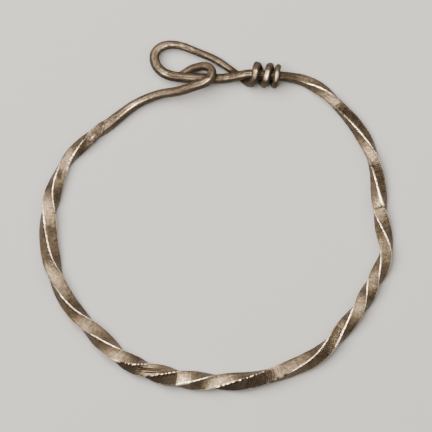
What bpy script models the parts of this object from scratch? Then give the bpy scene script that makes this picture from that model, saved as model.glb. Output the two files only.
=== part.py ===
"""A Viking-age arm-ring: one silver rod, twisted, with a hook and a wound eye.

The rod is one loft along a centre line. The line starts at the tip of the
hook, passes under and then over the eye's strand, runs round the ring, forms
the eye and ends in three turns round its own shank. The section goes from a
sharp square, twisted to the left, to a worn wire at both ends. The ring lies
flat: +Z is up, and the origin is under its middle, on the surface it lies on.
"""

import math

import bpy
import numpy as np

MM = 0.001

# Ring: middle line of the rod, side of the square rod where it is thickest
RING_RADIUS = 37.85 * MM
ROD_SIDE = 3.5 * MM
ARRIS_RADIUS = 0.6 * MM
WEAR = 0.18 * MM

# Wires, each across its flats
HOOK_WIRE = 2.1 * MM
HOOK_TIP = 1.6 * MM
SHANK_WIRE = 2.1 * MM
EYE_WIRE = 2.2 * MM
EYE_RETURN = 1.82 * MM
WRAP_WIRE = 1.65 * MM
WRAP_TIP = 1.3 * MM
WIRE_ROUNDNESS = 0.82

# Clasp
EYE_LENGTH = 19.5 * MM
EYE_ROOM = 2.85 * MM
HOOK_PLAY = 0.45 * MM
WRAP_TURNS = 2.8
WRAP_LEAD = 2.56 * MM
WRAP_SPREAD = 1.05 * MM
CLEARANCE = 0.12 * MM

# Fineness of the loft
STATION_STEP = 1.2 * MM
BEND_STEP = math.radians(16)
ARRIS_POINTS = 3
RING_STEP = 3
WRAP_STEP = math.radians(20)
SHANK_POINTS = 6
LINE_READINGS = 6000
SHARP_ANGLE = math.radians(35)

# The hand-bent ring: angle from +X, and distance from the middle as a share of RING_RADIUS
RING_ROUTE = (
    (141, 0.848), (147, 0.879), (153, 0.912), (159, 0.946), (165, 0.964), (171, 0.980),
    (180, 0.999), (189, 1.009), (201, 1.020), (213, 1.014), (225, 1.000), (237, 1.011),
    (246, 1.003), (255, 0.991), (270, 0.983), (285, 0.997), (297, 1.006), (309, 1.021),
    (318, 1.008), (327, 1.010), (339, 1.016), (348, 1.030), (354, 1.002), (363, 0.972),
    (375, 0.986), (384, 0.993), (393, 0.989), (405, 0.978), (411, 0.976), (417, 0.960),
)

# The forged rod: angle, and side as a share of ROD_SIDE
ROD_SHARES = (
    (141, 0.70), (150, 0.75), (161, 0.71), (170, 0.86), (178, 0.93), (200, 0.94), (219, 0.92),
    (228, 0.99), (236, 0.95), (244, 0.95), (252, 1.01), (258, 0.99), (266, 0.945), (287, 0.93),
    (303, 0.90), (311, 0.865), (326, 0.855), (337, 0.85), (350, 0.81), (361, 0.855),
    (369, 0.83), (380, 0.765), (389, 0.77), (404, 0.72), (412, 0.70), (417, 0.66),
)

# Twist: angle, and quarter-turns so far. An arris faces straight up at each whole number, and a
# face at each half
RIDGE_TURNS = (
    (136, 0), (146, 0.5), (154.2, 1), (161.5, 1.5), (172.5, 2), (178.5, 2.5), (192, 3),
    (196, 3.17), (200.5, 3.5), (212.1, 4), (219.5, 4.5), (227.5, 5), (240.5, 6), (250.5, 7),
    (262.7, 8), (276.5, 9), (287.5, 9.5), (303, 10), (319.5, 11), (332, 12), (341.4, 13),
    (354.9, 14), (368.5, 15), (380, 15.5), (389, 16), (404, 16.5), (412.5, 17), (432, 18),
)

# Hook: its straight part as shares of the way from the ring's end to the crossing (along,
# to the left of it), and of the climb
HOOK_SHANK = (
    (0.175, 0.041, 0.04), (0.272, 0.065, 0.09), (0.405, 0.079, 0.18), (0.605, 0.061, 0.42),
    (0.745, 0.022, 0.66), (0.89, 0.005, 0.90),
)

# Hook: its bend in plan, in units of its reach past the strand, and height between under and over
HOOK_BEND = (
    (0.22, -0.30, 1.00), (0.52, -0.05, 1.02), (0.73, 0.33, 0.97), (0.66, 0.74, 0.80),
    (0.20, 0.98, 0.57), (-0.35, 0.94, 0.36), (-0.90, 0.80, 0.17), (-1.45, 0.50, 0.03),
    (-1.90, 0.20, 0.00),
)

# Eye: along it and across it as shares of its length and width, and height between under and strand
EYE_ROUTE = (
    (0.165, 0.014, 1.00), (0.25, -0.010, 1.00), (0.345, -0.012, 1.00), (0.472, 0.000, 1.00),
    (0.60, 0.008, 1.00), (0.72, 0.028, 1.00), (0.84, 0.075, 0.92), (0.961, 0.226, 0.80), (1.029, 0.505, 0.70),
    (1.018, 0.740, 0.62), (0.94, 0.910, 0.56), (0.825, 0.962, 0.50), (0.686, 0.896, 0.44),
    (0.532, 0.745, 0.38), (0.378, 0.597, 0.31), (0.276, 0.464, 0.24), (0.197, 0.328, 0.17),
)
HOOKED_AT = (0.472, 0.0)

# Where the eye's wire goes in under the shank, in the same shares, and the turn at which it does
EYE_CROSSING = (0.10, 0.041)
WRAP_START = -math.radians(27)

# Where the winding's outer end sits on the ring, how far the shank tilts there, how far it runs
# straight and the radius that it bends at from there to the eye
WRAP_PLACE = (0.391, 0.8315)
SHANK_SLOPE = -0.075
SHANK_STRAIGHT = 5.85 * MM
SHANK_BEND = 12.5 * MM

SILVER = (0.42, 0.36, 0.29, 1.0)


def reach(side, arris):
    """How far the section's corner is from its middle."""
    return side / 2 * math.sqrt(2) - arris * (math.sqrt(2) - 1)


def wire_reach(side):
    """The same for a worn wire."""
    return reach(side, WIRE_ROUNDNESS * side / 2)


def stations_at(stations, at):
    """Smooth values through hand-chosen stations, by a natural cubic spline."""
    knots, values = np.array(stations, float).T
    return spline(knots, values[:, None], np.asarray(at, float))[:, 0]


def spline(knots, values, at):
    """Natural cubic spline through the rows of values, read at the parameters at."""
    gaps = np.diff(knots)[:, None]
    slopes = np.diff(values, axis=0) / gaps
    count = len(knots)
    system = np.eye(count)
    inner = np.arange(1, count - 1)
    system[inner, inner - 1] = gaps[:-1, 0]
    system[inner, inner] = 2 * (gaps[:-1, 0] + gaps[1:, 0])
    system[inner, inner + 1] = gaps[1:, 0]
    right = np.zeros_like(values)
    right[1:-1] = 6 * np.diff(slopes, axis=0)
    bends = np.linalg.solve(system, right)
    index = np.clip(np.searchsorted(knots, at) - 1, 0, count - 2)
    gap = gaps[index]
    late = (at - knots[index])[:, None] / gap
    early = 1 - late
    curved = (early**3 - early) * bends[index] + (late**3 - late) * bends[index + 1]
    return early * values[index] + late * values[index + 1] + curved * gap**2 / 6


def ring_rows():
    """The ring: x, y, z, side, arris radius and quarter-turns of twist, every few degrees."""
    first, last = RING_ROUTE[0][0], RING_ROUTE[-1][0]
    degrees = np.linspace(first, last, round((last - first) / RING_STEP) + 1)
    radius = RING_RADIUS * stations_at(RING_ROUTE, degrees)
    side = ROD_SIDE * stations_at(ROD_SHARES, degrees)
    arris = np.full_like(side, ARRIS_RADIUS)
    turns = stations_at(RIDGE_TURNS, degrees)
    height = side / math.sqrt(2) - arris * (math.sqrt(2) - 1) - WEAR
    angle = np.radians(degrees)
    return np.column_stack(
        [radius * np.cos(angle), radius * np.sin(angle), height, side, arris, turns]
    )


def wire_rows(points, sides, turns):
    """Rows of a worn wire through points, its side passing evenly through the sides given."""
    share = np.linspace(0, 1, len(points))
    side = np.interp(share, np.linspace(0, 1, len(sides)), sides)
    arris = WIRE_ROUNDNESS * side / 2
    return np.column_stack([points, side, arris, np.full(len(points), turns)])


def wrap_radius():
    """Distance from the shank's middle to the middle of the wire wound round it."""
    return wire_reach(SHANK_WIRE) + CLEARANCE + wire_reach(WRAP_WIRE)


def shank_height():
    """The winding lies on the surface, so it carries the shank this high."""
    return wrap_radius() + wire_reach(WRAP_WIRE)


def strand_height():
    """The hook's tip lies on the surface, and the eye's strand lies on the tip."""
    return 2 * wire_reach(HOOK_TIP) + CLEARANCE + wire_reach(EYE_WIRE)


def shank_point(along):
    """A point of the shank's middle line, this far from the winding's outer end."""
    x, y = RING_RADIUS * np.array(WRAP_PLACE)
    bent = max(0, -along - SHANK_STRAIGHT)
    return np.array([x + along, y + SHANK_SLOPE * along - bent**2 / (2 * SHANK_BEND), shank_height()])


def wrap_points():
    """The winding: circles round the shank, its last turns close together.

    The first turn stands off by the spread, and starts with a long step where the eye's wire comes in.
    """
    end = WRAP_START + 2 * math.pi * WRAP_TURNS
    phase = np.linspace(WRAP_START, end, round((end - WRAP_START) / WRAP_STEP) + 1)
    close_pitch = 2 * wire_reach(WRAP_WIRE) + CLEARANCE
    lead = WRAP_LEAD * (np.clip(math.pi - phase, 0, None) / math.pi) ** 2
    stand_off = WRAP_SPREAD * np.clip((end - phase) / (2 * math.pi) - 1, 0, 1)
    along = close_pitch * (phase - end) / (2 * math.pi) - wire_reach(WRAP_WIRE) - lead - stand_off
    middle = np.array([shank_point(each) for each in along])
    around = wrap_radius() * np.column_stack([np.zeros_like(phase), -np.sin(phase), -np.cos(phase)])
    return middle + around


def eye_point(along, across, height):
    """A point of the eye: along it, across it, and its height between the winding's start and the strand."""
    opening = HOOK_PLAY + 2 * wire_reach(HOOK_WIRE) + EYE_ROOM
    width = opening + 2 * wire_reach(EYE_WIRE)
    start = wrap_points()[0]
    base = shank_point(start[0] - shank_point(0)[0])
    low, high = wire_reach(WRAP_WIRE), strand_height()
    return np.array([
        start[0] - EYE_LENGTH * (along - EYE_CROSSING[0]),
        base[1] + width * (across - EYE_CROSSING[1]),
        low + (high - low) * height,
    ])


def hook_points(ring_end):
    """The hook from its tip to the ring: under the strand, round its end, over it and down."""
    hooked = eye_point(*HOOKED_AT, 1)
    past = wire_reach(EYE_WIRE) + HOOK_PLAY + wire_reach(HOOK_WIRE)
    under = wire_reach(HOOK_TIP)
    over = strand_height() + wire_reach(EYE_WIRE) + CLEARANCE + wire_reach(HOOK_WIRE)
    bend = [
        (hooked[0] + past * x, hooked[1] + past * y, under + (over - under) * rise)
        for x, y, rise in reversed(HOOK_BEND)
    ]
    way = np.array(bend[-1]) - ring_end
    left = np.array([-way[1], way[0], 0])
    climb = np.array([0, 0, way[2]])
    flat = way - climb
    shank = [
        ring_end + along * flat + aside * left + rise * climb
        for along, aside, rise in reversed(HOOK_SHANK)
    ]
    return np.array(bend + shank)


def control_rows():
    """All rows of the centre line, from the hook's tip to the end of the winding."""
    ring = ring_rows()
    hook = hook_points(ring[0, :3])
    bends = len(HOOK_BEND)
    hook_bend = wire_rows(hook[:bends], (HOOK_TIP, HOOK_WIRE), ring[0, 5])
    hook_sides = (HOOK_WIRE, HOOK_WIRE, HOOK_WIRE, ring[0, 3])
    hook_shank = wire_rows(hook[bends:], hook_sides, ring[0, 5])
    eye = np.array([eye_point(*each) for each in EYE_ROUTE])
    wrap = wrap_points()
    front = wrap[0, 0] - shank_point(0)[0]
    shank = np.array([shank_point(each) for each in np.linspace(0, front, SHANK_POINTS)])
    shank = wire_rows(shank, (SHANK_WIRE,), ring[-1, 5])
    return np.vstack([
        hook_bend,
        hook_shank,
        ring,
        shank,
        wire_rows(eye, (SHANK_WIRE, EYE_WIRE, EYE_WIRE, EYE_RETURN, WRAP_WIRE), ring[-1, 5]),
        wire_rows(wrap, (WRAP_WIRE, WRAP_WIRE, WRAP_TIP), ring[-1, 5]),
    ])


def stations():
    """The centre line read closely enough for its bends, with the section's values beside it."""
    rows = control_rows()
    steps = np.linalg.norm(np.diff(rows[:, :3], axis=0), axis=1)
    knots = np.concatenate([[0], np.cumsum(steps)])
    fine = np.linspace(0, knots[-1], LINE_READINGS)
    line = spline(knots, rows[:, :3], fine)
    tangent = np.gradient(line, fine, axis=0)
    tangent /= np.linalg.norm(tangent, axis=1)[:, None]
    bend = np.linalg.norm(np.gradient(tangent, fine, axis=0), axis=1)
    density = np.maximum(1 / STATION_STEP, bend / BEND_STEP)
    count = np.concatenate([[0], np.cumsum((density[1:] + density[:-1]) / 2 * np.diff(fine))])
    at = np.interp(np.linspace(0, count[-1], math.ceil(count[-1]) + 1), count, fine)
    values = [np.interp(at, knots, rows[:, column]) for column in (3, 4, 5)]
    return np.column_stack([spline(knots, rows[:, :3], at), *values])


def frames(line):
    """Side and up directions carried along the line without spin, up at the middle of the ring."""
    tangent = np.gradient(line, axis=0)
    tangent /= np.linalg.norm(tangent, axis=1)[:, None]
    up = np.empty_like(line)
    start = int(np.argmin(line[:, 1]))
    up[start] = (0, 0, 1)
    for order in (range(start + 1, len(line)), range(start - 1, -1, -1)):
        before = start
        for here in order:
            carried = up[before] - tangent[here] * (up[before] @ tangent[here])
            up[here] = carried / np.linalg.norm(carried)
            before = here
    return np.cross(tangent, up), up


def section(side, arris):
    """Corner angles and arcs of a square with rounded arrises, as flat points."""
    corners = np.arange(4) * math.pi / 2
    arc = np.linspace(-math.pi / 4, math.pi / 4, ARRIS_POINTS)
    middle = (side / 2 - arris) * math.sqrt(2)
    angle = corners[:, None] + arc[None, :]
    flat = middle * np.stack([np.cos(corners), np.sin(corners)], axis=-1)[:, None, :]
    return (flat + arris * np.stack([np.cos(angle), np.sin(angle)], axis=-1)).reshape(-1, 2)


def rod_points():
    """Points of every section, rubbed flat where the rod lies on the surface."""
    rows = stations()
    across, up = frames(rows[:, :3])
    points = []
    for (x, y, z, side, arris, turns), out, rise in zip(rows, across, up):
        spin = math.pi / 2 * (turns + 1)
        turned = np.array([[math.cos(spin), math.sin(spin)], [-math.sin(spin), math.cos(spin)]])
        flat = section(side, arris) @ turned
        points.append(np.array([x, y, z]) + flat[:, :1] * out + flat[:, 1:] * rise)
    points = np.array(points)
    points[..., 2] = np.maximum(points[..., 2], 0)
    low, high = points.min(axis=(0, 1)), points.max(axis=(0, 1))
    points[..., :2] -= (low[:2] + high[:2]) / 2
    return points


def rod_mesh(points):
    """A closed skin over the sections, with a cap at each end."""
    count, around = points.shape[:2]
    index = np.arange(count * around).reshape(count, around)
    here, there = index[:-1], index[1:]
    quads = np.stack([here, there, np.roll(there, -1, 1), np.roll(here, -1, 1)], axis=-1)
    faces = quads.reshape(-1, 4).tolist()
    faces.append(index[0].tolist())
    faces.append(index[-1, ::-1].tolist())
    mesh = bpy.data.meshes.new("twisted_silver_rod")
    mesh.from_pydata(points.reshape(-1, 3).tolist(), [], faces)
    mesh.shade_smooth()
    mesh.set_sharp_from_angle(angle=SHARP_ANGLE)
    return mesh


def silver():
    """Warm grey tarnished silver."""
    material = bpy.data.materials.new("tarnished_silver")
    material.use_nodes = True
    shader = material.node_tree.nodes["Principled BSDF"]
    shader.inputs["Base Color"].default_value = SILVER
    shader.inputs["Metallic"].default_value = 1.0
    shader.inputs["Roughness"].default_value = 0.4
    return material


def main():
    """Clears the scene and makes the rod in its own collection."""
    for old in list(bpy.data.objects):
        bpy.data.objects.remove(old)
    collection = bpy.data.collections.new("viking_bracelet")
    bpy.context.scene.collection.children.link(collection)
    rod = bpy.data.objects.new("twisted_silver_rod", rod_mesh(rod_points()))
    rod.data.materials.append(silver())
    collection.objects.link(rod)


main()
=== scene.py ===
"""The finished look of a Viking-age arm-ring: one twisted silver rod with a hook and a wound eye.

The fine rod is one surface on a grid: along the centre line, from the hook's tip round the ring
to the winding's end, by round the section. It follows the frame's solid, and adds what the maker,
the wearer and the ground left on it.
"""

import logging
import math
from dataclasses import dataclass, field
from enum import Enum, IntEnum
from typing import Callable

import bpy
import numpy as np
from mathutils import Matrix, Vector

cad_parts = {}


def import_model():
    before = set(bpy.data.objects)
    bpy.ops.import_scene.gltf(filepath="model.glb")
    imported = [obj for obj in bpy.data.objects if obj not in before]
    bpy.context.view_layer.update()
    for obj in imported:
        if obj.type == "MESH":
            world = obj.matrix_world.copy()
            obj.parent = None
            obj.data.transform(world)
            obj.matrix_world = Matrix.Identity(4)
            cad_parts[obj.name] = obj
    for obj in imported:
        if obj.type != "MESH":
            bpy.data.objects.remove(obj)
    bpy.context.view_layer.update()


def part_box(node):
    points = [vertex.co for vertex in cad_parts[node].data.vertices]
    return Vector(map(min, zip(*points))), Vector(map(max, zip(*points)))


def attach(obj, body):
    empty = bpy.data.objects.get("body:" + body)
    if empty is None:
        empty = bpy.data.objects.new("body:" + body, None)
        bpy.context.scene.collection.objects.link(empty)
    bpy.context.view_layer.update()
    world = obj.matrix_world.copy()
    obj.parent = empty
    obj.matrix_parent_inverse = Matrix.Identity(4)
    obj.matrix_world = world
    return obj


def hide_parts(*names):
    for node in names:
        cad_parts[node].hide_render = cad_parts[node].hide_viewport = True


MM = 0.001
DIAGONAL = math.sqrt(2)
ROD_NODE = "twisted_silver_rod"
LOG = logging.getLogger("bracelet")

Rows = np.ndarray


def spline(knots: Rows, values: Rows, at: Rows) -> Rows:
    """Reads a natural cubic spline: in each gap, the cubic whose bend changes evenly between knots.

    Args:
        knots: parameters of the points, rising.
        values: one row for each knot.
        at: parameters to read.

    Returns:
        One row for each parameter in at.
    """
    gaps = np.diff(knots)[:, None]
    slopes = np.diff(values, axis=0) / gaps
    count = len(knots)
    system = np.eye(count)
    inner = np.arange(1, count - 1)
    system[inner, inner - 1] = gaps[:-1, 0]
    system[inner, inner] = 2 * (gaps[:-1, 0] + gaps[1:, 0])
    system[inner, inner + 1] = gaps[1:, 0]
    right = np.zeros_like(values)
    right[1:-1] = 6 * np.diff(slopes, axis=0)
    bends = np.linalg.solve(system, right)
    index = np.clip(np.searchsorted(knots, at) - 1, 0, count - 2)
    gap = gaps[index]
    late = (at - knots[index])[:, None] / gap
    early = 1 - late
    curved = (early**3 - early) * bends[index] + (late**3 - late) * bends[index + 1]
    return early * values[index] + late * values[index + 1] + curved * gap**2 / 6


def stations_at(stations: tuple, at: Rows) -> Rows:
    """Reads a smooth value through given stations, by the same spline."""
    knots, values = np.array(stations, float).T
    return spline(knots, values[:, None], at)[:, 0]


def reach(side: Rows, arris: Rows) -> Rows:
    """How far a rounded square's corner is from its middle: half its diagonal, less the rounding."""
    return side / 2 * DIAGONAL - arris * (DIAGONAL - 1)


def smooth(low: float, high: float, value: Rows) -> Rows:
    """Smooth step: 0 below low, 1 above high, and 3t^2 - 2t^3 between them."""
    share = np.clip((value - low) / (high - low), 0, 1)
    return share * share * (3 - 2 * share)


def band(rise: tuple, fall: tuple, value: Rows) -> Rows:
    """1 between two limits and 0 outside them: it rises over one range and falls over the other."""
    return smooth(*rise, value) * (1 - smooth(*fall, value))


def bump_at(value: Rows, middle: float, width: float) -> Rows:
    """Bell curve: exp of minus the squared distance from the middle, in widths."""
    return np.exp(-(((value - middle) / width) ** 2))


def placed(name: str, data: bpy.types.ID) -> bpy.types.Object:
    """Puts a new object with its data into the scene, at the origin."""
    made = bpy.data.objects.new(name, data)
    bpy.context.scene.collection.objects.link(made)
    return made


@dataclass(frozen=True)
class RodSizes:
    """The solid's own sizes, in metres, with its listed stations."""

    ring_radius: float = 37.85 * MM
    rod_side: float = 3.5 * MM
    arris_radius: float = 0.6 * MM
    wear: float = 0.18 * MM
    hook_wire: float = 2.1 * MM
    hook_tip: float = 1.6 * MM
    shank_wire: float = 2.1 * MM
    eye_wire: float = 2.2 * MM
    eye_return: float = 1.82 * MM
    wrap_wire: float = 1.65 * MM
    wrap_tip: float = 1.3 * MM
    wire_roundness: float = 0.82
    eye_length: float = 19.5 * MM
    eye_room: float = 2.85 * MM
    hook_play: float = 0.45 * MM
    wrap_turns: float = 2.8
    wrap_lead: float = 2.56 * MM
    wrap_spread: float = 1.05 * MM
    wrap_start: float = -math.radians(27)
    clearance: float = 0.12 * MM
    shank_slope: float = -0.075
    shank_straight: float = 5.85 * MM
    shank_bend: float = 12.5 * MM
    ring_route: tuple = (
        (141, 0.848), (147, 0.879), (153, 0.912), (159, 0.946), (165, 0.964), (171, 0.98),
        (180, 0.999), (189, 1.009), (201, 1.02), (213, 1.014), (225, 1), (237, 1.011),
        (246, 1.003), (255, 0.991), (270, 0.983), (285, 0.997), (297, 1.006), (309, 1.021),
        (318, 1.008), (327, 1.01), (339, 1.016), (348, 1.03), (354, 1.002), (363, 0.972),
        (375, 0.986), (384, 0.993), (393, 0.989), (405, 0.978), (411, 0.976), (417, 0.96),
    )
    rod_shares: tuple = (
        (141, 0.7), (150, 0.75), (161, 0.71), (170, 0.86), (178, 0.93), (200, 0.94),
        (219, 0.92), (228, 0.99), (236, 0.95), (244, 0.95), (252, 1.01), (258, 0.99),
        (266, 0.945), (287, 0.93), (303, 0.9), (311, 0.865), (326, 0.855), (337, 0.85),
        (350, 0.81), (361, 0.855), (369, 0.83), (380, 0.765), (389, 0.77), (404, 0.72),
        (412, 0.7), (417, 0.66),
    )
    ridge_turns: tuple = (
        (136, 0), (146, 0.5), (154.2, 1), (161.5, 1.5), (172.5, 2), (178.5, 2.5), (192, 3),
        (196, 3.17), (200.5, 3.5), (212.1, 4), (219.5, 4.5), (227.5, 5), (240.5, 6),
        (250.5, 7), (262.7, 8), (276.5, 9), (287.5, 9.5), (303, 10), (319.5, 11), (332, 12),
        (341.4, 13), (354.9, 14), (368.5, 15), (380, 15.5), (389, 16), (404, 16.5),
        (412.5, 17), (432, 18),
    )
    hook_shank: tuple = (
        (0.175, 0.041, 0.04), (0.272, 0.065, 0.09), (0.405, 0.079, 0.18), (0.605, 0.061, 0.42),
        (0.745, 0.022, 0.66), (0.89, 0.005, 0.9),
    )
    hook_bend: tuple = (
        (0.22, -0.3, 1), (0.52, -0.05, 1.02), (0.73, 0.33, 0.97), (0.66, 0.74, 0.8),
        (0.2, 0.98, 0.57), (-0.35, 0.94, 0.36), (-0.9, 0.8, 0.17), (-1.45, 0.5, 0.03),
        (-1.9, 0.2, 0),
    )
    eye_route: tuple = (
        (0.165, 0.014, 1), (0.25, -0.01, 1), (0.345, -0.012, 1), (0.472, 0, 1),
        (0.6, 0.008, 1), (0.72, 0.028, 1), (0.84, 0.075, 0.92), (0.961, 0.226, 0.8),
        (1.029, 0.505, 0.7), (1.018, 0.74, 0.62), (0.94, 0.91, 0.56), (0.825, 0.962, 0.5),
        (0.686, 0.896, 0.44), (0.532, 0.745, 0.38), (0.378, 0.597, 0.31), (0.276, 0.464, 0.24),
        (0.197, 0.328, 0.17),
    )
    hooked_at: tuple = (0.472, 0.0)
    eye_crossing: tuple = (0.10, 0.041)
    wrap_place: tuple = (0.391, 0.8315)


class Column(IntEnum):
    """What each column of the centre line's rows holds after x, y and z."""

    SIDE = 3
    ARRIS = 4
    TURNS = 5
    PLACE = 6


@dataclass
class RodLine:
    """The rod's centre line, worked out from the solid's sizes as the solid's own line is.

    PLACE is the ring's angle in degrees. It falls below the ring's first angle along the hook, and
    rises past its last one along the shank, the eye and the winding.
    """

    sizes: RodSizes = field(default_factory=RodSizes)
    ring_step: float = 3.0
    wrap_step: float = math.radians(20)
    shank_points: int = 6
    hook_places: float = 40.0
    shank_places: float = 15.0
    eye_places: float = 60.0
    wrap_places: float = 60.0
    chipped_places: tuple = ((139.5, 150.5), (233, 291), (360.5, 366))
    chipped_density: float = 1.8
    chipped_ramp: float = 2.0
    wire_density: float = 0.60
    readings: int = 6000

    def first_place(self) -> float:
        """Where the ring begins, past the hook."""
        return self.sizes.ring_route[0][0]

    def last_place(self) -> float:
        """Where the ring ends, before the shank of the eye."""
        return self.sizes.ring_route[-1][0]

    def winding_place(self) -> float:
        """Where the winding begins, past the shank and the eye."""
        return self.last_place() + self.shank_places + self.eye_places

    def wire_reach(self, side: float) -> float:
        """Half the width of a worn wire over its corners."""
        return reach(side, self.sizes.wire_roundness * side / 2)

    def wrap_radius(self) -> float:
        """Distance from the shank's middle to the middle of the wire wound round it."""
        own = self.sizes
        return self.wire_reach(own.shank_wire) + own.clearance + self.wire_reach(own.wrap_wire)

    def strand_height(self) -> float:
        """Height of the eye's strand, which lies on the hook's tip."""
        own = self.sizes
        return 2 * self.wire_reach(own.hook_tip) + own.clearance + self.wire_reach(own.eye_wire)

    def shank_point(self, along: Rows) -> Rows:
        """Points of the shank's middle line.

        Args:
            along: their distances from the winding's outer end, less than 0 towards the eye.

        Returns:
            The points.
        """
        own = self.sizes
        x, y = own.ring_radius * np.array(own.wrap_place)
        height = self.wrap_radius() + self.wire_reach(own.wrap_wire)
        bent = np.clip(-along - own.shank_straight, 0, None)
        aside = own.shank_slope * along - bent**2 / (2 * own.shank_bend)
        return np.stack([x + along, y + aside, height + 0 * along], axis=-1)

    def ring_rows(self) -> Rows:
        """The ring: radius, side and twist are smooth functions of the angle.

        Returns:
            Its rows.
        """
        own = self.sizes
        first, last = self.first_place(), self.last_place()
        degrees = np.linspace(first, last, round((last - first) / self.ring_step) + 1)
        radius = own.ring_radius * stations_at(own.ring_route, degrees)
        side = own.rod_side * stations_at(own.rod_shares, degrees)
        arris = np.full_like(side, own.arris_radius)
        turns = stations_at(own.ridge_turns, degrees)
        height = reach(side, arris) - own.wear
        angle = np.radians(degrees)
        plan = [radius * np.cos(angle), radius * np.sin(angle)]
        return np.column_stack([*plan, height, side, arris, turns, degrees])

    def wire_rows(self, points: Rows, sides: tuple, turns: float, places: tuple) -> Rows:
        """Rows of a worn wire.

        Args:
            points: the wire's middle line.
            sides: the sides that it passes evenly through.
            turns: the twist, which a wire keeps.
            places: the first and last value of PLACE.

        Returns:
            One row for each point.
        """
        share = np.linspace(0, 1, len(points))
        side = np.interp(share, np.linspace(0, 1, len(sides)), sides)
        arris = self.sizes.wire_roundness * side / 2
        place = places[0] + (places[1] - places[0]) * share
        return np.column_stack([points, side, arris, np.full(len(points), turns), place])

    def wrap_points(self) -> Rows:
        """The winding: circles round the shank, stepping along it with each turn.

        Returns:
            Its points.
        """
        own = self.sizes
        end = own.wrap_start + math.tau * own.wrap_turns
        phase = np.linspace(own.wrap_start, end, round((end - own.wrap_start) / self.wrap_step) + 1)
        close_pitch = 2 * self.wire_reach(own.wrap_wire) + own.clearance
        lead = own.wrap_lead * (np.clip(math.pi - phase, 0, None) / math.pi) ** 2
        stand_off = own.wrap_spread * np.clip((end - phase) / math.tau - 1, 0, 1)
        along = close_pitch * (phase - end) / math.tau - self.wire_reach(own.wrap_wire)
        around = np.column_stack([np.zeros_like(phase), -np.sin(phase), -np.cos(phase)])
        return self.shank_point(along - lead - stand_off) + self.wrap_radius() * around

    def eye_points(self, shares: tuple) -> Rows:
        """Points of the eye.

        Args:
            shares: the shares of its length, its width and its strand's height for each point.

        Returns:
            The points.
        """
        own = self.sizes
        along, across, height = np.array(shares, float).T
        opening = own.hook_play + 2 * self.wire_reach(own.hook_wire) + own.eye_room
        width = opening + 2 * self.wire_reach(own.eye_wire)
        start = self.wrap_points()[0]
        base = self.shank_point(start[0] - self.shank_point(0.0)[0])
        low, high = self.wire_reach(own.wrap_wire), self.strand_height()
        return np.column_stack([
            start[0] - own.eye_length * (along - own.eye_crossing[0]),
            base[1] + width * (across - own.eye_crossing[1]),
            low + (high - low) * height,
        ])

    def hook_points(self, ring_end: Rows) -> Rows:
        """The hook from its tip to the ring: under the strand, round its end, over it and down.

        Args:
            ring_end: the ring's first point, which the shank comes down to.

        Returns:
            The bend's points and then the shank's.
        """
        own = self.sizes
        hooked = self.eye_points(((*own.hooked_at, 1),))[0]
        past = self.wire_reach(own.eye_wire) + own.hook_play + self.wire_reach(own.hook_wire)
        under = self.wire_reach(own.hook_tip)
        over = self.strand_height() + self.wire_reach(own.eye_wire) + own.clearance
        over += self.wire_reach(own.hook_wire)
        x, y, rise = np.array(own.hook_bend[::-1]).T
        height = under + (over - under) * rise
        bend = np.column_stack([hooked[0] + past * x, hooked[1] + past * y, height])
        way = bend[-1] - ring_end
        along, aside, climb = np.array(own.hook_shank[::-1]).T[:, :, None]
        left = np.array([-way[1], way[0], 0])
        flat = way * (1, 1, 0)
        shank = ring_end + along * flat + aside * left + climb * (way - flat)
        return np.vstack([bend, shank])

    def control_rows(self) -> Rows:
        """The whole line, from the hook's tip to the end of the winding.

        Returns:
            All its rows.
        """
        own = self.sizes
        ring = self.ring_rows()
        first, last = self.first_place(), self.last_place()
        turns, end_turns = ring[0, Column.TURNS], ring[-1, Column.TURNS]
        hook = self.hook_points(ring[0, :3])
        bends = len(own.hook_bend)
        tip, middle = first - self.hook_places, first - self.hook_places / 2
        hook_shank_sides = (own.hook_wire,) * 3 + (ring[0, Column.SIDE],)
        wrap = self.wrap_points()
        front = wrap[0, 0] - self.shank_point(0.0)[0]
        shank = self.shank_point(np.linspace(0, front, self.shank_points))
        eye = self.eye_points(own.eye_route)
        eye_start, wrap_start = last + self.shank_places, self.winding_place()
        eye_sides = (own.shank_wire, own.eye_wire, own.eye_wire, own.eye_return, own.wrap_wire)
        wrap_sides = (own.wrap_wire, own.wrap_wire, own.wrap_tip)
        wrap_end = wrap_start + self.wrap_places
        return np.vstack([
            self.wire_rows(hook[:bends], (own.hook_tip, own.hook_wire), turns, (tip, middle)),
            self.wire_rows(hook[bends:], hook_shank_sides, turns, (middle + 2, first - 2)),
            ring,
            self.wire_rows(shank, (own.shank_wire,), end_turns, (last + 3, eye_start)),
            self.wire_rows(eye, eye_sides, end_turns, (eye_start + 2, wrap_start)),
            self.wire_rows(wrap, wrap_sides, end_turns, (wrap_start + 1, wrap_end)),
        ])

    def density(self, place: Rows) -> Rows:
        """How close the stations are: more on the chipped stretches, fewer on the plain wires.

        Args:
            place: PLACE along the line.

        Returns:
            The density, 1 on the plain ring.
        """
        on_wire = (place < self.first_place()) | (place > self.last_place())
        density = np.where(on_wire, self.wire_density, 1.0)
        ramp = self.chipped_ramp
        for start, end in self.chipped_places:
            window = band((start - ramp, start), (end, end + ramp), place)
            density = np.maximum(density, 1 + (self.chipped_density - 1) * window)
        return density

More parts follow.
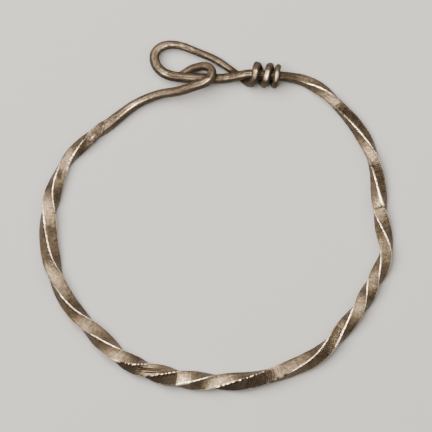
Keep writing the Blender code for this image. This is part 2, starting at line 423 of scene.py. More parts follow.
    def stations(self, step: float) -> tuple[Rows, Rows]:
        """Reads the line at small steps.

        Args:
            step: distance between stations where the density is 1, in metres.

        Returns:
            The rows at the stations, and each station's distance along the rod.
        """
        rows = self.control_rows()
        steps = np.linalg.norm(np.diff(rows[:, :3], axis=0), axis=1)
        knots = np.concatenate([[0], np.cumsum(steps)])
        even = np.linspace(0, knots[-1], self.readings)
        density = self.density(np.interp(even, knots, rows[:, Column.PLACE]))
        count = np.concatenate([[0], np.cumsum((density[1:] + density[:-1]) / 2 * np.diff(even))])
        share = np.linspace(0, count[-1], round(count[-1] / step) + 1)
        at = np.interp(share, count, even)
        values = [np.interp(at, knots, rows[:, column]) for column in Column]
        return np.column_stack([spline(knots, rows[:, :3], at), *values]), at


class Mark(Enum):
    """What a patch of the surface is like."""

    HATCHED = 0
    ROUGH = 1
    PAINTED_HIGHLIGHT = 2


@dataclass(frozen=True)
class Patch:
    """A part of the surface, from one place and ridge number to another, with a soft rim."""

    first: float
    last: float
    low: float
    high: float
    soft: float = 1.4
    weight: float = 1.0


@dataclass(frozen=True)
class Chips:
    """Small chips out of one arris, between two places, and their depth in millimetres."""

    ridge: int
    first: float
    last: float
    count: int
    depth: float


PATCHES = {mark: tuple(Patch(*row) for row in rows) for mark, rows in {
    Mark.HATCHED: (
        (368, 379, 15.1, 15.9), (385, 402, 16.1, 16.9), (280, 290, 9.1, 9.9), (305, 318, 10.1, 10.9),
    ),
    Mark.ROUGH: (
        (232, 244, 6.08, 7), (243, 256.1, 7.06, 8.1, 0.15), (267, 285.5, 9.06, 10, 2.6),
        (163.4, 166.6, 1.4, 1.95, 1, 0.6), (142, 147, -0.4, 1.2, 1, 0.45),
        (344, 351.5, 13.1, 13.95, 0.4, 0.25),
    ),
    # Painted highlights: faces and lumps that catch the light take the bright worn colour.
    Mark.PAINTED_HIGHLIGHT: (
        (256.3, 261, 7.2, 8.2, 0.15, 1.3), (242.5, 254.5, 6.15, 6.95),
        (265.5, 278, 8.2, 9.05, 1.4, 1.2), (195, 204, 3.1, 3.9), (311.5, 319, 10.3, 11.1, 1.4, 1.2),
        (228, 236.5, 5.2, 6.1), (363.2, 366.4, 14.35, 15.25, 0.3, 1.25),
        (365, 369, 14.6, 15.2, 1.4, 1), (141, 142.4, 0.24, 0.54, 0.4, 1.5),
        (146.3, 148.2, 0.26, 0.58, 0.5, 1.7), (156.5, 163.5, 0.85, 1.45, 1.4, 1),
        (172, 183, 2.1, 3.1), (377, 386, 15.2, 15.9, 1.4, 1.2), (401, 409, 16.2, 16.9),
    ),
}.items()}

CHIPS = tuple(Chips(*row) for row in (
    (6, 236, 246, 8, 0.3), (7, 244, 256, 9, 0.3), (9, 271, 288, 12, 0.42), (10, 282, 295, 8, 0.3),
    (3, 176, 196, 22, 0.13), (4, 199, 220, 20, 0.04), (12, 322, 336, 12, 0.06),
    (15, 362, 378, 16, 0.09), (16, 382, 400, 18, 0.04), (1, 149, 162, 13, 0.1),
    (2, 163, 176, 10, 0.05),
))


@dataclass(frozen=True)
class Crack:
    """A straight crack on one face, from one place and ridge number to another."""

    first: float
    low: float
    last: float
    high: float


CRACKS = (
    Crack(242.3, 6.28, 249.5, 6.50),
    Crack(243.8, 6.44, 253.5, 6.76),
    Crack(245.5, 6.66, 255.0, 6.92),
)


@dataclass(frozen=True)
class Lump:
    """A small round rise, or a dent where its height in millimetres is below zero."""

    height: float
    place: float
    ridge: float
    width: float
    across: float


LUMPS = tuple(Lump(*row) for row in (
    (0.2, 141.5, 0.42, 0.6, 0.14), (0.22, 147.1, 0.42, 0.6, 0.12), (0.12, 148.9, 0.48, 0.8, 0.14),
    (-0.2, 145.2, 0.25, 0.8, 0.22), (-0.1, 144, 0.6, 0.5, 0.2), (0.3, 147.6, -0.35, 0.3, 0.14),
    (0.12, 364.4, 14.9, 0.9, 0.24), (-0.04, 351.6, 13.5, 0.6, 0.5),
))


@dataclass(frozen=True)
class Cut:
    """The cut across the rod at its right side. It slants by so many degrees to a ridge number."""

    place: float = 362.9
    ridge: float = 14.65
    width: float = 0.32
    slant: float = 0.4
    side: tuple = (0.45, 0.7)
    depth: float = 0.17 * MM


@dataclass(frozen=True)
class Fold:
    """The line where the hook's wire leaves the square rod. It slants on one half of a face."""

    place: float = 141.0
    slant: float = 4.9
    half: float = 0.5
    crest: float = 0.25
    width: float = 0.55
    ridge: float = 0.30
    side: tuple = (0.20, 0.38)


@dataclass(frozen=True)
class Ripple:
    """Uneven waves: how high, how long along the rod, how many to a quarter, and what picks them."""

    height: float
    wave: float
    stretch: float
    seed: int


HAMMERING = (
    Ripple(0.030 * MM, 8 * MM, 0.6, 1),
    Ripple(0.014 * MM, 2.6 * MM, 1.0, 2),
    Ripple(0.006 * MM, 0.9 * MM, 2.0, 3),
)
ARRIS_WAVER = Ripple(0.018 * MM, 1.5 * MM, 0.0, 4)
BROAD_DRIFT = Ripple(0.25, 30 * MM, 0.0, 5)
FINE_DRIFT = Ripple(0.40, 22 * MM, 0.0, 6)
LAYER_WAVES = Ripple(0.25, 1.8 * MM, 1.5, 7)
PITTING = (Ripple(0.040 * MM, 0.8 * MM, 3.0, 8), Ripple(0.030 * MM, 0.5 * MM, 5.0, 9))
RIM_WANDER = Ripple(0.6, 1.6 * MM, 2.0, 12)


@dataclass
class SurfaceGrid:
    """The numbers that every point of the surface carries.

    Along is in metres along the rod, and place is the ring's angle. Ridge is the number of the
    arris or face, from 0 to 4, as the twist counts them, and ridge_width the metres from one to
    the next. Edge is 1 on an arris and 0 on a face. Square is 1 on the ring and 0 on the wires.
    """

    along: Rows
    place: Rows
    ridge: Rows
    edge: Rows
    square: Rows
    seed: int = 11
    waves: int = 7
    ridge_width: float = 3.4 * MM
    rim_side: float = 0.08
    chip_across: float = 0.17
    crack_end: float = 4 * MM

    def away(self, ridge: float) -> Rows:
        """Quarter-turns from one arris or face, counted the short way round the section."""
        return (self.ridge - ridge + 2) % 4 - 2

    def near(self, ridge: float, width: float) -> Rows:
        """1 on one arris or face, falling to 0 beside it as a bell."""
        return bump_at(self.away(ridge), 0, width)

    def within(self, low: float, high: float, ridge: float) -> Rows:
        """1 so near to one arris or face, falling to 0 so far from it."""
        return 1 - smooth(low, high, np.abs(self.away(ridge)))

    def spot(self, place: float, ridge: float, width: float, across: float) -> Rows:
        """A round spot: a bell along the rod times a bell round it."""
        return bump_at(self.place, place, width) * self.near(ridge, across)

    def ripple(self, ripple: Ripple) -> Rows:
        """Smooth uneven height about 0: a sum of waves of like lengths.

        Args:
            ripple: the waves.

        Returns:
            The height at each point.
        """
        draw = np.random.default_rng(self.seed + ripple.seed)
        total = np.zeros_like(self.ridge)
        for _ in range(self.waves):
            length = ripple.wave * draw.uniform(0.6, 1.7)
            around = round(ripple.stretch * draw.uniform(-1, 1) * 4) / 4
            phase = draw.uniform(0, math.tau)
            total += np.sin(math.tau * (self.along / length + around * self.ridge) + phase)
        return ripple.height * total / math.sqrt(self.waves / 2) / 2

    def window(self, patch: Patch) -> Rows:
        """How much each point lies in a patch, whose rim is soft and wanders.

        Args:
            patch: the patch.

        Returns:
            Its weight inside it and 0 outside it.
        """
        wander = patch.soft * self.ripple(RIM_WANDER)
        middle, half = (patch.first + patch.last) / 2, (patch.last - patch.first) / 2
        away = np.abs(self.place + wander - middle)
        lengthwise = 1 - smooth(half - patch.soft, half + patch.soft, away)
        middle, half = (patch.low + patch.high) / 2, (patch.high - patch.low) / 2
        return patch.weight * lengthwise * self.within(half - self.rim_side, half, middle)

    def marked(self, mark: Mark) -> Rows:
        """The strongest of all patches that carry one mark."""
        return np.max([self.window(patch) for patch in PATCHES[mark]], axis=0)

    def chips(self, chips: Chips) -> Rows:
        """One row of chips: the deepest of narrow bells, at uneven steps along the arris.

        Args:
            chips: the row.

        Returns:
            Its depth.
        """
        draw = np.random.default_rng(self.seed + 31 * chips.ridge)
        depth = np.zeros_like(self.ridge)
        pitch = (chips.last - chips.first) / chips.count
        for number in range(chips.count):
            place = chips.first + pitch * (number + draw.uniform(0.15, 0.85))
            width, share = pitch * draw.uniform(0.20, 0.36), draw.uniform(0.35, 1)
            ridge = chips.ridge + draw.uniform(0.04, 0.14)
            depth = np.maximum(depth, share * self.spot(place, ridge, width, self.chip_across))
        return chips.depth * MM * depth

    def chipped(self) -> Rows:
        """Depth of all chips."""
        return np.sum([self.chips(chips) for chips in CHIPS], axis=0)

    def cut(self, cut: Cut = Cut()) -> Rows:
        """Depth of the cut."""
        line = bump_at(self.place - cut.slant * self.away(cut.ridge), cut.place, cut.width)
        return cut.depth * line * self.within(*cut.side, cut.ridge)

    def past_fold(self, fold: Fold = Fold()) -> Rows:
        """Degrees past the line of the fold."""
        return self.place - fold.place - fold.slant * (fold.half - self.away(0.0).clip(0, fold.half))

    def fold_line(self, fold: Fold = Fold()) -> Rows:
        """1 on the line of the fold, on the rod's upper side, and 0 away from it."""
        return bump_at(self.past_fold(), fold.crest, fold.width) * self.within(*fold.side, fold.ridge)

    def from_crack(self, crack: Crack) -> Rows:
        """Distance across a crack, which grows past its ends.

        Args:
            crack: the crack.

        Returns:
            Metres, less than 0 on the side of the lower numbers.
        """
        share = (self.place - crack.first) / (crack.last - crack.first)
        middle = crack.low + (crack.high - crack.low) * np.clip(share, 0, 1)
        beyond = np.abs(share - np.clip(share, 0, 1)) * self.crack_end
        across = self.away(middle) * self.ridge_width
        return np.where(across < 0, -1, 1) * np.hypot(across, beyond)


@dataclass
class Relief:
    """What stands out from or is cut into the plain rod, as heights in metres over the grid."""

    grid: SurfaceGrid
    layer_depth: float = 0.17 * MM
    layer_ridge: float = 7.58
    layer_ends: tuple = ((246, 248.5), (256, 256.3))
    layer_side: tuple = (0.36, 0.47)
    fold_height: float = 0.18 * MM
    bench_height: float = 0.12 * MM
    bench_ends: tuple = ((-0.3, 0.3), (2, 9))
    bench_side: tuple = (0.75, 1.2)
    groove_heights: tuple = (0.018 * MM, 0.014 * MM, 0.01 * MM)
    sunk: float = 0.035 * MM
    lip_height: float = 0.06 * MM
    lip_width: float = 0.25 * MM

    def rippled(self, ripples: tuple) -> Rows:
        """Sum of some sets of waves."""
        return np.sum([self.grid.ripple(ripple) for ripple in ripples], axis=0)

    def hammering(self) -> Rows:
        """Long soft dents of the hammer, shorter unevenness, and arrises that waver."""
        grid = self.grid
        return self.rippled(HAMMERING) + grid.edge * grid.square * grid.ripple(ARRIS_WAVER)

    def wire_grooves(self) -> Rows:
        """Drawn-out grooves and flats along the wires: waves round the section that drift slowly.

        Returns:
            Their height.
        """
        grid = self.grid
        broad = np.sin(math.tau * (2 * grid.ridge + grid.ripple(BROAD_DRIFT)))
        fine = np.sin(math.tau * (3 * grid.ridge + grid.ripple(FINE_DRIFT)))
        high, low, sunk = self.groove_heights
        return (1 - grid.square) * (high * broad + low * fine - sunk)

    def lost_layer(self) -> Rows:
        """A layer split off one face of the ring. It ends in a sheer step."""
        grid = self.grid
        lost = band(*self.layer_ends, grid.place) * grid.within(*self.layer_side, self.layer_ridge)
        return -self.layer_depth * lost * (1 + grid.ripple(LAYER_WAVES))

    def fold(self) -> Rows:
        """The ridge of the fold, and a bench past it that sinks slowly into the ring."""
        grid = self.grid
        bench = band(*self.bench_ends, grid.past_fold()) * grid.within(*self.bench_side, 0.5)
        return self.fold_height * grid.fold_line() + self.bench_height * bench

    def lumps(self) -> Rows:
        """Lumps, dents and a burr by the fold, a raised arris past the cut and a dent before it."""
        spots = [self.grid.spot(lump.place, lump.ridge, lump.width, lump.across) for lump in LUMPS]
        return np.sum([lump.height * MM * spot for lump, spot in zip(LUMPS, spots)], axis=0)

    def roughness(self) -> Rows:
        """Corroded faces: short uneven pitting, set a little below the face."""
        return self.grid.marked(Mark.ROUGH) * (self.rippled(PITTING) - self.sunk)

    def cracks(self) -> Rows:
        """Layers that lift along one face: a lip stands over each crack and falls away behind it."""
        lips = [self.grid.from_crack(crack) for crack in CRACKS]
        bells = [bump_at(lip, -self.lip_width, self.lip_width) for lip in lips]
        return self.lip_height * np.sum(bells, axis=0)

    def height(self) -> Rows:
        """Sum of everything."""
        added = self.hammering() + self.wire_grooves() + self.lost_layer() + self.fold()
        added += self.lumps() + self.roughness() + self.cracks()
        return added - self.grid.chipped() - self.grid.cut()


# Brown stains in the clasp's corners: the place of each in plan, and its radius.
STAINS = MM * np.array((
    (4.2, 32.7, 1.5), (7.0, 32.3, 1.3), (9.0, 31.6, 1.2), (15.6, 31.3, 1.0), (-2.0, 31.2, 1.0),
))


@dataclass(frozen=True)
class TopHighlight:
    """A painted highlight along the top of a wire: its weight, from one upward facing to another."""

    weight: float
    low: float
    high: float = 1.0

    def on(self, up: Rows) -> Rows:
        """How much painted highlight each point gets."""
        return self.weight * smooth(self.low, self.high, up)


# Painted highlights along the tops of the hook, the eye's strands and the winding.
HOOK_HIGHLIGHT = TopHighlight(0.83, 0.92)
STRAND_HIGHLIGHT = TopHighlight(0.72, 0.87)
WINDING_HIGHLIGHT = TopHighlight(0.84, 0.70, 0.97)


@dataclass
class FineRod:
    """The silver rod as a fine closed surface that stands for the solid.

    Arris_share is the fine arris' radius as a share of the solid's, and the wires take wire_share
    of that sharpening. Covered_turns is the part of the winding that lies under the shank.
    """

    line: RodLine = field(default_factory=RodLine)
    step: float = 0.176 * MM
    arc_points: int = 5
    flat_points: int = 7
    arris_share: float = 0.70
    wire_share: float = 0.4
    edge_width: float = 0.17
    wire_range: tuple = (0.4, 0.75)
    plain_range: tuple = (147, 156)
    covered_turns: float = 0.4
    inner_range: tuple = (-0.3 * MM, 0.45 * MM)
    # Upward facing over which the painted shade on what faces down fades out.
    lower_range: tuple = (-0.25, 0.62)
    deep_loss: float = 0.25 * MM
    stain_strength: float = 0.85
    # Strength of the painted shade on what faces down.
    underside_painted_shade: float = 0.6

    def section(self, side: Rows, arris: Rows) -> tuple[Rows, Rows, Rows]:
        """A rounded square for every station: quarter arcs at the arrises, straight flats between.

        Args:
            side: side of the square at each station.
            arris: radius of its arrises at each station.

        Returns:
            The flat points, their outward directions and their numbers round the section, from 0
            to 4, which are whole in the middle of an arris.
        """
        arc = np.linspace(-math.pi / 4, math.pi / 4, self.arc_points)
        share = np.arange(1, self.flat_points + 1) / (self.flat_points + 1)
        turn = np.arange(4)[:, None] * math.pi / 2
        toward = np.stack([np.cos(turn), np.sin(turn)], axis=-1)
        out = np.stack([np.cos(turn + arc), np.sin(turn + arc)], axis=-1)
        middle, radius = ((side / 2 - arris) * DIAGONAL)[:, None, None, None], arris[:, None, None, None]
        bends = middle * toward + radius * out
        ends = bends[:, :, -1:]
        flats = ends + (np.roll(bends[:, :, :1], -1, axis=1) - ends) * share[:, None]
        points = np.concatenate([bends, flats], axis=2).reshape(len(side), -1, 2)
        normals = np.concatenate([out, np.repeat(out[:, -1:], self.flat_points, axis=1)], axis=1)
        parts = np.concatenate([arc / math.pi / 2, (1 + 6 * share) / 8])
        return points, normals.reshape(-1, 2), (np.arange(4)[:, None] + parts).ravel()

    def frames(self, middle: Rows) -> tuple[Rows, Rows]:
        """Two directions across the line, carried along it from the foot of the ring without spin.

        Args:
            middle: the line's points.

        Returns:
            The direction to the side and the direction up, at each point.
        """
        tangent = np.gradient(middle, axis=0)
        tangent /= np.linalg.norm(tangent, axis=1)[:, None]
        up = np.empty_like(middle)
        start = int(np.argmin(middle[:, 1]))
        up[start] = (0, 0, 1)
        for order in (range(start + 1, len(middle)), range(start - 1, -1, -1)):
            before = start
            for here in order:
                carried = up[before] - tangent[here] * (up[before] @ tangent[here])
                up[here] = carried / np.linalg.norm(carried)
                before = here
        return np.cross(tangent, up), up

    def settle(self, points: Rows) -> Rows:
        """Rubs the underside flat, and moves the points to the solid's middle and into its box.

        Args:
            points: the surface.

        Returns:
            The points as moved.
        """
        low, high = (np.array(corner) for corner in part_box(ROD_NODE))
        points[..., 2] = np.maximum(points[..., 2], 0)
        spread = points.min(axis=(0, 1)) + points.max(axis=(0, 1))
        points[..., :2] += (low[:2] + high[:2] - spread[:2]) / 2
        return np.clip(points, low, high)

    @staticmethod
    def facing(points: Rows) -> Rows:
        """The outward direction at each point: the cross product of the grid's two directions."""
        around = np.roll(points, -1, 1) - np.roll(points, 1, 1)
        out = np.cross(np.gradient(points, axis=0), around)
        return out / np.maximum(np.linalg.norm(out, axis=-1, keepdims=True), 1e-12)

    def stains_and_painted_shade(self, points: Rows, grid: SurfaceGrid, up: Rows) -> Rows:
        """Where the surface turns dark: inside the winding next to the shank, brown stains in the
        clasp's corners, and painted shade on what faces down.

        Args:
            points: the surface.
            grid: its numbers.
            up: how far each point faces up.

        Returns:
            1 where it is darkest and 0 on open metal.
        """
        line = self.line
        nearest = line.shank_point(points[..., 0] - line.shank_point(0.0)[0])
        from_shank = np.linalg.norm((points - nearest)[..., 1:], axis=-1)
        inner = 1 - smooth(*self.inner_range, from_shank - line.wrap_radius())
        stain_and_shade_mask = np.where(grid.place > line.winding_place(), inner, 0)
        for x, y, radius in STAINS:
            away = np.hypot(points[..., 0] - x, points[..., 1] - y)
            stain_and_shade_mask = np.maximum(stain_and_shade_mask, self.stain_strength * bump_at(away, 0, radius))
        # Painted shade: what faces down or sideways turns dark.
        return np.maximum(stain_and_shade_mask, self.underside_painted_shade * (1 - smooth(*self.lower_range, up)))

    def marks(self, points: Rows, grid: SurfaceGrid) -> dict[str, Rows]:
        """What the finish reads at each point.

        Args:
            points: the surface.
            grid: its numbers.

        Returns:
            Three numbers to a name: wear (worn arrises and painted highlights on the wire tops, brown
            stains and painted shade on what faces down, bright patches of painted highlight), patches
            (hatched, rough, lost), form (square, wound, and one that is spare) and cracks (millimetres
            from each).
        """
        up = self.facing(points)[..., 2]
        under = self.covered_turns * self.line.wrap_places / self.line.sizes.wrap_turns
        wound = grid.place > self.line.winding_place() + under
        # Painted highlights: wire tops that face up take the bright worn colour.
        wire = np.where(grid.place < self.line.first_place(), HOOK_HIGHLIGHT.on(up), STRAND_HIGHLIGHT.on(up))
        wire = np.where(wound, WINDING_HIGHLIGHT.on(up), wire)
        plain = grid.near(0.0, 0.4) * (1 - smooth(*self.plain_range, grid.place))
        # Worn arrises on the ring, and painted highlights on the wire tops.
        rubbed_and_highlit = grid.edge * grid.square * (1 - plain) + wire * (1 - grid.square)
        # Bright patches of painted highlight on faces and lumps, and the fold's crest.
        worn = np.maximum(grid.marked(Mark.PAINTED_HIGHLIGHT), 1.5 * grid.fold_line())
        lost = (grid.chipped() + grid.cut()) / self.deep_loss
        return {
            "wear": np.dstack([rubbed_and_highlit, self.stains_and_painted_shade(points, grid, up), worn]),
            "patches": np.dstack([grid.marked(Mark.HATCHED), grid.marked(Mark.ROUGH), lost]),
            "form": np.dstack([grid.square, wound, np.zeros_like(up)]),
            "cracks": np.dstack([grid.from_crack(crack) / MM for crack in CRACKS]),
        }

    def build(self) -> bpy.types.Object:
        """Works out the whole surface and puts it into a mesh.

        The arris is sharper than the solid's, and the side less, so that the corners stay in place.

        Returns:
            The rod's object, at the origin.
        """
        rows, along = self.line.stations(self.step)
        side, place = rows[:, Column.SIDE], rows[:, Column.PLACE]
        arris = rows[:, Column.ARRIS]
        square = 1 - smooth(*self.wire_range, arris / (side / 2))
        sharpening = self.wire_share + (1 - self.wire_share) * square
        fine_arris = arris * (1 - (1 - self.arris_share) * sharpening)
        fine_side = side - (arris - fine_arris) * (DIAGONAL - 1) * DIAGONAL
        flat, normal, numbers = self.section(fine_side, fine_arris)
        spin = math.pi / 2 * (rows[:, Column.TURNS] + 1)
        whole = np.zeros((len(along), len(numbers)))
        grid = SurfaceGrid(
            along=along[:, None] + whole,
            place=place[:, None] + whole,
            ridge=-numbers % 4 + whole,
            edge=1 - np.clip(np.abs(numbers - np.round(numbers)) / self.edge_width, 0, 1) + whole,
            square=square[:, None] + whole,
        )
        height = Relief(grid).height()
        flat = flat + height[:, :, None] * normal[None, :, :]
        cos, sin = np.cos(spin)[:, None], np.sin(spin)[:, None]
        across, up = self.frames(rows[:, :3])
        sideways = (flat[..., 0] * cos - flat[..., 1] * sin)[..., None] * across[:, None]
        upwards = (flat[..., 0] * sin + flat[..., 1] * cos)[..., None] * up[:, None]
        points = self.settle(rows[:, None, :3] + sideways + upwards)
        mesh = self.skin(points)
        self.attribute(mesh, "rod_space", np.dstack([grid.along, flat]))
        for name, values in self.marks(points, grid).items():
            self.attribute(mesh, name, values)
        return placed("silver_rod", mesh)

    @staticmethod
    def skin(points: Rows) -> bpy.types.Mesh:
        """A closed skin of quads over the grid, with a fan at each end.

        Args:
            points: the surface, stations by points round the section.

        Returns:
            The smooth mesh. Its last two points are the middles of the ends.
        """
        count, around = points.shape[:2]
        index = np.arange(count * around).reshape(count, around)
        here, there = index[:-1], index[1:]
        quads = np.stack([here, there, np.roll(there, -1, 1), np.roll(here, -1, 1)], axis=-1)
        first, last = np.full(around, count * around), np.full(around, count * around + 1)
        rim, far_rim = index[0], index[-1]
        caps = np.concatenate([
            np.stack([first, rim, np.roll(rim, -1)], axis=-1),
            np.stack([last, np.roll(far_rim, -1), far_rim], axis=-1),
        ])
        ends = points[[0, -1]].mean(axis=1)
        mesh = bpy.data.meshes.new("fine_silver_rod")
        vertices = np.vstack([points.reshape(-1, 3), ends])
        mesh.from_pydata(vertices.tolist(), [], quads.reshape(-1, 4).tolist() + caps.tolist())
        mesh.shade_smooth()
        return mesh

    @staticmethod
    def attribute(mesh: bpy.types.Mesh, name: str, values: Rows) -> None:
        """Keeps a vector for each point of the grid, and its ends', under a name for the finish."""
        rows = values.reshape(-1, 3)
        layer = mesh.attributes.new(name, "FLOAT_VECTOR", "POINT")
        layer.data.foreach_set("vector", np.vstack([rows, rows[[0, -1]]]).astype(np.float32).ravel())


def operator(operation: str) -> Callable:
    """A Python operator for values that adds one Math node."""
    return lambda value, other: value.math(operation, other)


@dataclass
class Value:
    """A shader socket, or a number, whose Python operators add Math nodes to its tree."""

    tree: "ShaderTree"
    socket: object

    def math(self, operation: str, *others: object) -> "Value":
        """Adds one Math node on this value and the others."""
        return self.tree.value("Math", self, *others, operation=operation)

    __add__ = __radd__ = operator("ADD")
    __sub__ = operator("SUBTRACT")
    __mul__ = operator("MULTIPLY")
    __pow__ = operator("POWER")

    def __rsub__(self, other: float) -> "Value":
        """A number less this value."""
        return Value(self.tree, other).math("SUBTRACT", self)

    def clamp(self) -> "Value":
        """This value kept between 0 and 1."""
        return self.tree.value("Clamp", self, 0.0, 1.0)

    def between(self, low: float, high: float) -> "Value":
        """Smooth step of this value between two limits."""
        limits = (low, high, 0.0, 1.0)
        return self.tree.value("MapRange", self, *limits, interpolation_type="SMOOTHSTEP")


class ShaderTree:
    """One material's node tree, and the few ways in which this file adds to it."""

    def __init__(self, name: str) -> None:
        """Starts a material whose Principled BSDF is ready.

        Args:
            name: the material's name.
        """
        self.material = bpy.data.materials.new(name)
        self.material.use_nodes = True
        self.tree = self.material.node_tree
        self.shader = self.tree.nodes["Principled BSDF"]

    def node(self, kind: str, *inputs: object, **settings: object) -> bpy.types.Node:
        """Adds a node.

        Args:
            kind: the node's type, after "ShaderNode".
            inputs: a value, link or None for each of its sockets, in order.
            settings: its own properties, set first.

        Returns:
            The node.
        """
        made = self.tree.nodes.new("ShaderNode" + kind)
        for name, value in settings.items():
            setattr(made, name, value)
        for socket, value in zip(made.inputs, inputs):
            self.feed(socket, value)
        return made

    def value(self, kind: str, *inputs: object, **settings: object) -> Value:
        """Adds a node and gives the value of its first output."""
        return Value(self, self.node(kind, *inputs, **settings).outputs[0])

    def feed(self, socket: bpy.types.NodeSocket, value: object) -> None:
        """Links a socket to a value, or sets it to a constant.

        Args:
            socket: an input.
            value: a Value, another node's output, a constant, or None to leave the input as it is.
        """
        if isinstance(value, Value):
            value = value.socket
        if value is None:
            return
        if isinstance(value, bpy.types.NodeSocket):
            self.tree.links.new(value, socket)
        elif isinstance(value, tuple) and len(value) == 3 and socket.type == "RGBA":
            socket.default_value = (*value, 1.0)
        else:
            socket.default_value = value

    def cover(self, inputs: dict) -> bpy.types.Material:
        """Feeds the surface's inputs, each by its name, and gives the material."""
        for name, value in inputs.items():
            self.feed(self.shader.inputs[name], value)
        return self.material

    def mark(self, name: str) -> tuple[Value, Value, Value]:
        """The three numbers of a vertex attribute."""
        read = self.node("Attribute", attribute_name=name)
        split = self.node("SeparateXYZ", read.outputs["Vector"])
        return tuple(Value(self, output) for output in split.outputs)

    def noise(self, place: object, scale: float, detail: float, rough: float = 0.5) -> Value:
        """Cloudy noise from 0 to 1 over a place."""
        return self.value("TexNoise", place, None, scale, detail, rough)

    def mix(self, share: object, low: object, high: object) -> bpy.types.NodeSocket:
        """A colour between two colours.

        Args:
            share: how much of the second one.
            low: the first.
            high: the second.

        Returns:
            The colour's socket.
        """
        made = self.node("Mix", data_type="RGBA")
        self.feed(made.inputs[0], share)
        self.feed(made.inputs[6], low)
        self.feed(made.inputs[7], high)
        return made.outputs[2]

    def scaled(self, vector: object, by: tuple) -> bpy.types.NodeSocket:
        """A vector times another, part by part."""
        return self.node("VectorMath", vector, by, operation="MULTIPLY").outputs[0]


@dataclass(frozen=True)
class TarnishedSilver:
    """Old silver: grey-brown tarnish on the faces, bright worn arrises, brown stains in the clasp's
    corners, darker inside the winding, painted highlights on the wire tops and on some faces and
    lumps, and painted shade on what faces down.

    Its noises' scales are counts to a metre.
    """

    face: tuple = (0.134, 0.099, 0.064)
    dark_face: tuple = (0.041, 0.031, 0.0215)
    # Bright worn silver, also the colour of the painted highlights.
    worn: tuple = (1.0, 0.80, 0.55)
    # Dark brown of stains, cracks, streaks and chips, also used as painted shade on what faces down.
    stain_and_shade_colour: tuple = (0.022, 0.013, 0.008)
    metallic: float = 0.95
    roughness: float = 0.50
    cloud_scale: float = 240.0
    mottle_scale: float = 1100.0
    grain_scale: float = 3200.0
    streak_scale: tuple = (380, 3400, 3400)
    filed_scale: tuple = (3400, 700, 700)
    hatch_pitch: float = 0.46 * MM
    hatch_wander: float = 3.0
    crack_wander: float = 0.35
    crack_rim: tuple = (0.04, 0.19)
    bare_range: tuple = (0.45, 1.0)
    tarnish_range: tuple = (0.38, 0.62)
    streak_range: tuple = (0.54, 0.68)
    bump_depth: float = 0.22 * MM

    def crack(self, tree: ShaderTree, mottle: Value) -> Value:
        """1 in a crack and 0 beside it, with an edge that wanders."""
        wander = (mottle - 0.5) * self.crack_wander
        apart = [(away + wander).math("ABSOLUTE") for away in tree.mark("cracks")]
        return sum(1 - away.between(*self.crack_rim) for away in apart).clamp()

    def hatch(self, tree: ShaderTree, mottle: Value) -> Value:
        """Fine waves along the rod, as the strokes of a file leave them."""
        along = tree.mark("rod_space")[0] * (math.tau / self.hatch_pitch)
        return (along + mottle * self.hatch_wander).math("SINE")

    def material(self) -> bpy.types.Material:
        """Builds the finish: what covers each point, then its colour, shine and fine relief.

        Returns:
            The material.
        """
        tree = ShaderTree("old_silver")
        rod_space = tree.node("Attribute", attribute_name="rod_space").outputs["Vector"]
        place = tree.node("TexCoord").outputs["Object"]
        # Wear: worn arrises with painted highlights on the wire tops, brown stains with painted shade on
        # what faces down, and bright patches of painted highlight.
        edge, stain_and_shade_mask, worn = tree.mark("wear")
        hatched, rough, lost = tree.mark("patches")
        square, wound, _ = tree.mark("form")
        cloud = tree.noise(place, self.cloud_scale, 3)
        mottle = tree.noise(place, self.mottle_scale, 3, 0.6)
        grain = tree.noise(place, self.grain_scale, 3, 0.65)
        streak = tree.noise(tree.scaled(rod_space, self.streak_scale), 1.0, 3, 0.6)
        filed = tree.noise(tree.scaled(rod_space, self.filed_scale), 1.0, 2, 0.5)
        crack = self.crack(tree, mottle)
        hatch = self.hatch(tree, mottle) * hatched

        uneven = ((grain - 0.5) * 0.55 + (mottle - 0.5) * 0.5) * (0.4 + square * 0.6)
        # Worn arrises, with the painted highlights on the wire tops and the bright patches.
        rubbed_and_highlit = edge ** 1.5 * (cloud + 0.42) + worn * 0.42 + uneven - rough * 0.25 - lost * 0.7
        bare_and_highlit = rubbed_and_highlit.between(*self.bare_range)
        # The bright patches of painted highlight lighten the tarnish too.
        tarnish = cloud * 0.34 + mottle * 0.25 + grain * 0.16 + filed * 0.25 + worn * 0.12 - rough * 0.1
        pale = tarnish.between(*self.tarnish_range) * (0.55 + square * 0.45 - rough * 0.7)
        streaks = streak.between(*self.streak_range) * (1.0 - square * 0.6 - wound * 0.4)
        # Brown stains, cracks, streaks, rough faces and chips, with the painted shade on what faces
        # down.
        stain_and_shade_share = stain_and_shade_mask + crack + streaks + (rough * (mottle - 0.4) + lost * 0.7)

        colour = tree.mix(pale, self.dark_face, self.face)
        colour = tree.mix(bare_and_highlit, colour, self.worn)
        colour = tree.mix((stain_and_shade_share * 0.85).clamp(), colour, self.stain_and_shade_colour)
        shine = self.roughness - bare_and_highlit * 0.32 + (grain - 0.5) * 0.2 + rough * 0.15 + stain_and_shade_share * 0.15
        relief = grain * 0.55 + filed * 0.4 + streak * 0.25 + mottle * 0.5 + hatch * 0.85 - crack * 1.4
        bump = tree.node("Bump", 1.0, self.bump_depth)
        tree.feed(bump.inputs["Height"], relief + rough * grain)
        surface = {"Base Color": colour, "Metallic": self.metallic, "Roughness": shine.clamp()}
        return tree.cover({**surface, "Normal": bump.outputs[0]})


@dataclass(frozen=True)
class PalePaper:
    """The floor: plain pale paper."""

    colour: tuple = (0.205, 0.202, 0.198)
    roughness: float = 0.9

    def material(self) -> bpy.types.Material:
        """Builds the plain finish."""
        inputs = {"Base Color": self.colour, "Roughness": self.roughness}
        return ShaderTree("pale_paper").cover(inputs)


@dataclass(frozen=True)
class Lamp:
    """A square soft light that looks at the middle of the ring."""

    name: str
    place: tuple
    size: float
    watts: float


LAMPS = (
    Lamp("key", (-0.22, 0.18, 0.58), 0.56, 28.0),
    Lamp("fill", (0.34, 0.06, 0.50), 0.40, 4.0),
)


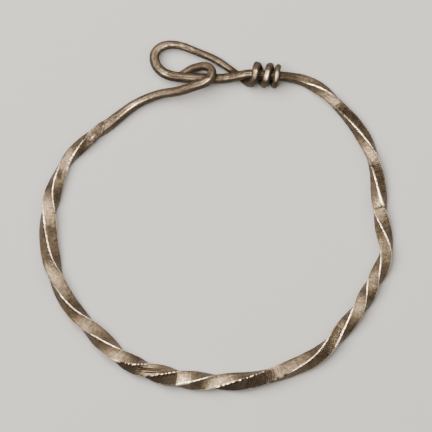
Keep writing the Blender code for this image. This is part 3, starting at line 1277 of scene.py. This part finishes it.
@dataclass(frozen=True)
class Studio:
    """Floor, soft lights and a camera straight above, with the photograph's own scale."""

    frame_pixels: int = 432
    pixel: float = 0.225 * MM
    lens: float = 500.0
    sensor: float = 36.0
    look_height: float = 2.0 * MM
    floor_size: float = 1.2
    floor_drop: float = 0.05 * MM
    sky: tuple = (0.11, 0.11, 0.113)
    warm: tuple = (1.0, 0.95, 0.88)

    def floor(self) -> bpy.types.Object:
        """A wide plain floor just under the ring.

        Returns:
            Its object.
        """
        half = self.floor_size / 2
        mesh = bpy.data.meshes.new("floor")
        corners = [(-half, -half), (half, -half), (half, half), (-half, half)]
        mesh.from_pydata([(x, y, -self.floor_drop) for x, y in corners], [], [(0, 1, 2, 3)])
        mesh.materials.append(PalePaper().material())
        floor = placed("floor", mesh)
        return floor

    def light(self, lamp: Lamp) -> None:
        """Hangs one lamp in the studio's warm colour.

        Args:
            lamp: the lamp.
        """
        data = bpy.data.lights.new(lamp.name, "AREA")
        data.size = lamp.size
        data.energy = lamp.watts
        data.color = self.warm
        made = placed(lamp.name, data)
        made.location = lamp.place
        made.rotation_euler = Vector(lamp.place).to_track_quat("Z", "Y").to_euler()

    def lights(self) -> None:
        """A large key from the upper left, a weak fill from the right and a dim surround."""
        for lamp in LAMPS:
            self.light(lamp)
        world = bpy.data.worlds.new("surround")
        world.use_nodes = True
        world.node_tree.nodes["Background"].inputs[0].default_value = (*self.sky, 1.0)
        bpy.context.scene.world = world

    def camera(self) -> None:
        """Looks down from so far that there is almost no perspective, half a pixel below the middle."""
        width = self.frame_pixels * self.pixel
        distance = width * self.lens / self.sensor
        data = bpy.data.cameras.new("camera")
        data.lens = self.lens
        data.sensor_width = self.sensor
        data.clip_start = 0.01
        made = placed("camera", data)
        made.location = (0.0, -0.5 * self.pixel, self.look_height + distance)
        bpy.context.scene.camera = made


def main() -> None:
    """Builds the rod and the studio."""
    logging.basicConfig(level=logging.INFO, format="%(name)s: %(message)s")
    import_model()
    rod = FineRod().build()
    rod.data.materials.append(TarnishedSilver().material())
    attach(rod, "root")
    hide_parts(ROD_NODE)
    LOG.info("%s: %d triangles", rod.name, 2 * len(rod.data.polygons))
    studio = Studio()
    studio.camera()
    studio.lights()
    studio.floor()


if __name__ == "__main__":
    main()
